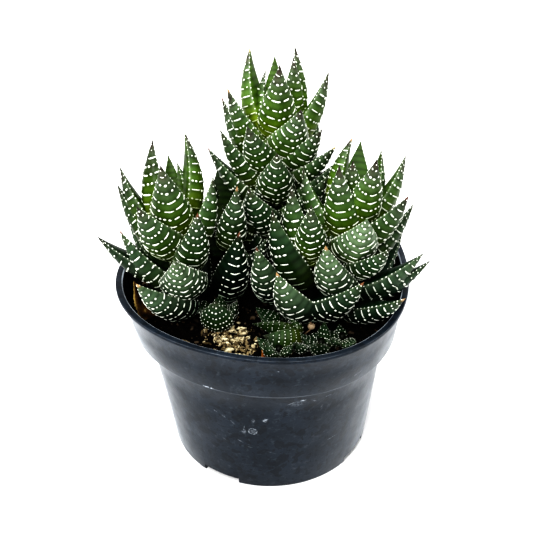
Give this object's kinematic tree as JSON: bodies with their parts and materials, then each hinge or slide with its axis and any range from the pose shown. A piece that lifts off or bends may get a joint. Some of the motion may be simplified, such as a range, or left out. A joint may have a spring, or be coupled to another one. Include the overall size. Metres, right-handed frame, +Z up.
{
  "type": "potted haworthia",
  "caption": "Clump of banded zebra haworthia rosettes with young offsets, rooted in soil in a round tapered nursery pot with a collar and drain notches.",
  "frame": {"origin": "centre of the pot's flat underside, on the pot's axis", "axes": "+Z up the pot's axis, -Y towards the front with the young offsets, +X to the right seen from the front"},
  "size_m": [0.1161, 0.1055, 0.1494],
  "materials": {
    "pot": "satin black with scuffs",
    "soil": "dark crumbly potting mix",
    "gravel": "pale rough pumice grains",
    "leaf": "waxy green with white raised bands",
    "dry": "papery brown dead leaf",
    "husk": "dry tan husk"
  },
  "bodies": {
    "root": {"pot": "pot", "soil": "soil", "gravel_patch": "gravel", "rosette_left": "leaf", "rosette_right": "leaf", "rosette_inner": "leaf", "rosette_middle": "leaf", "rosette_front": "leaf", "rosette_back": "leaf", "offset_left": "leaf", "offset_centre": "leaf", "offset_front_left": "leaf", "offset_front_low": "leaf", "offset_front_middle": "leaf", "offset_front_right": "leaf", "offset_right_edge": "leaf", "dry_leaf": "dry", "dry_flake": "dry", "seed_husk": "husk"}
  },
  "joints": []
}
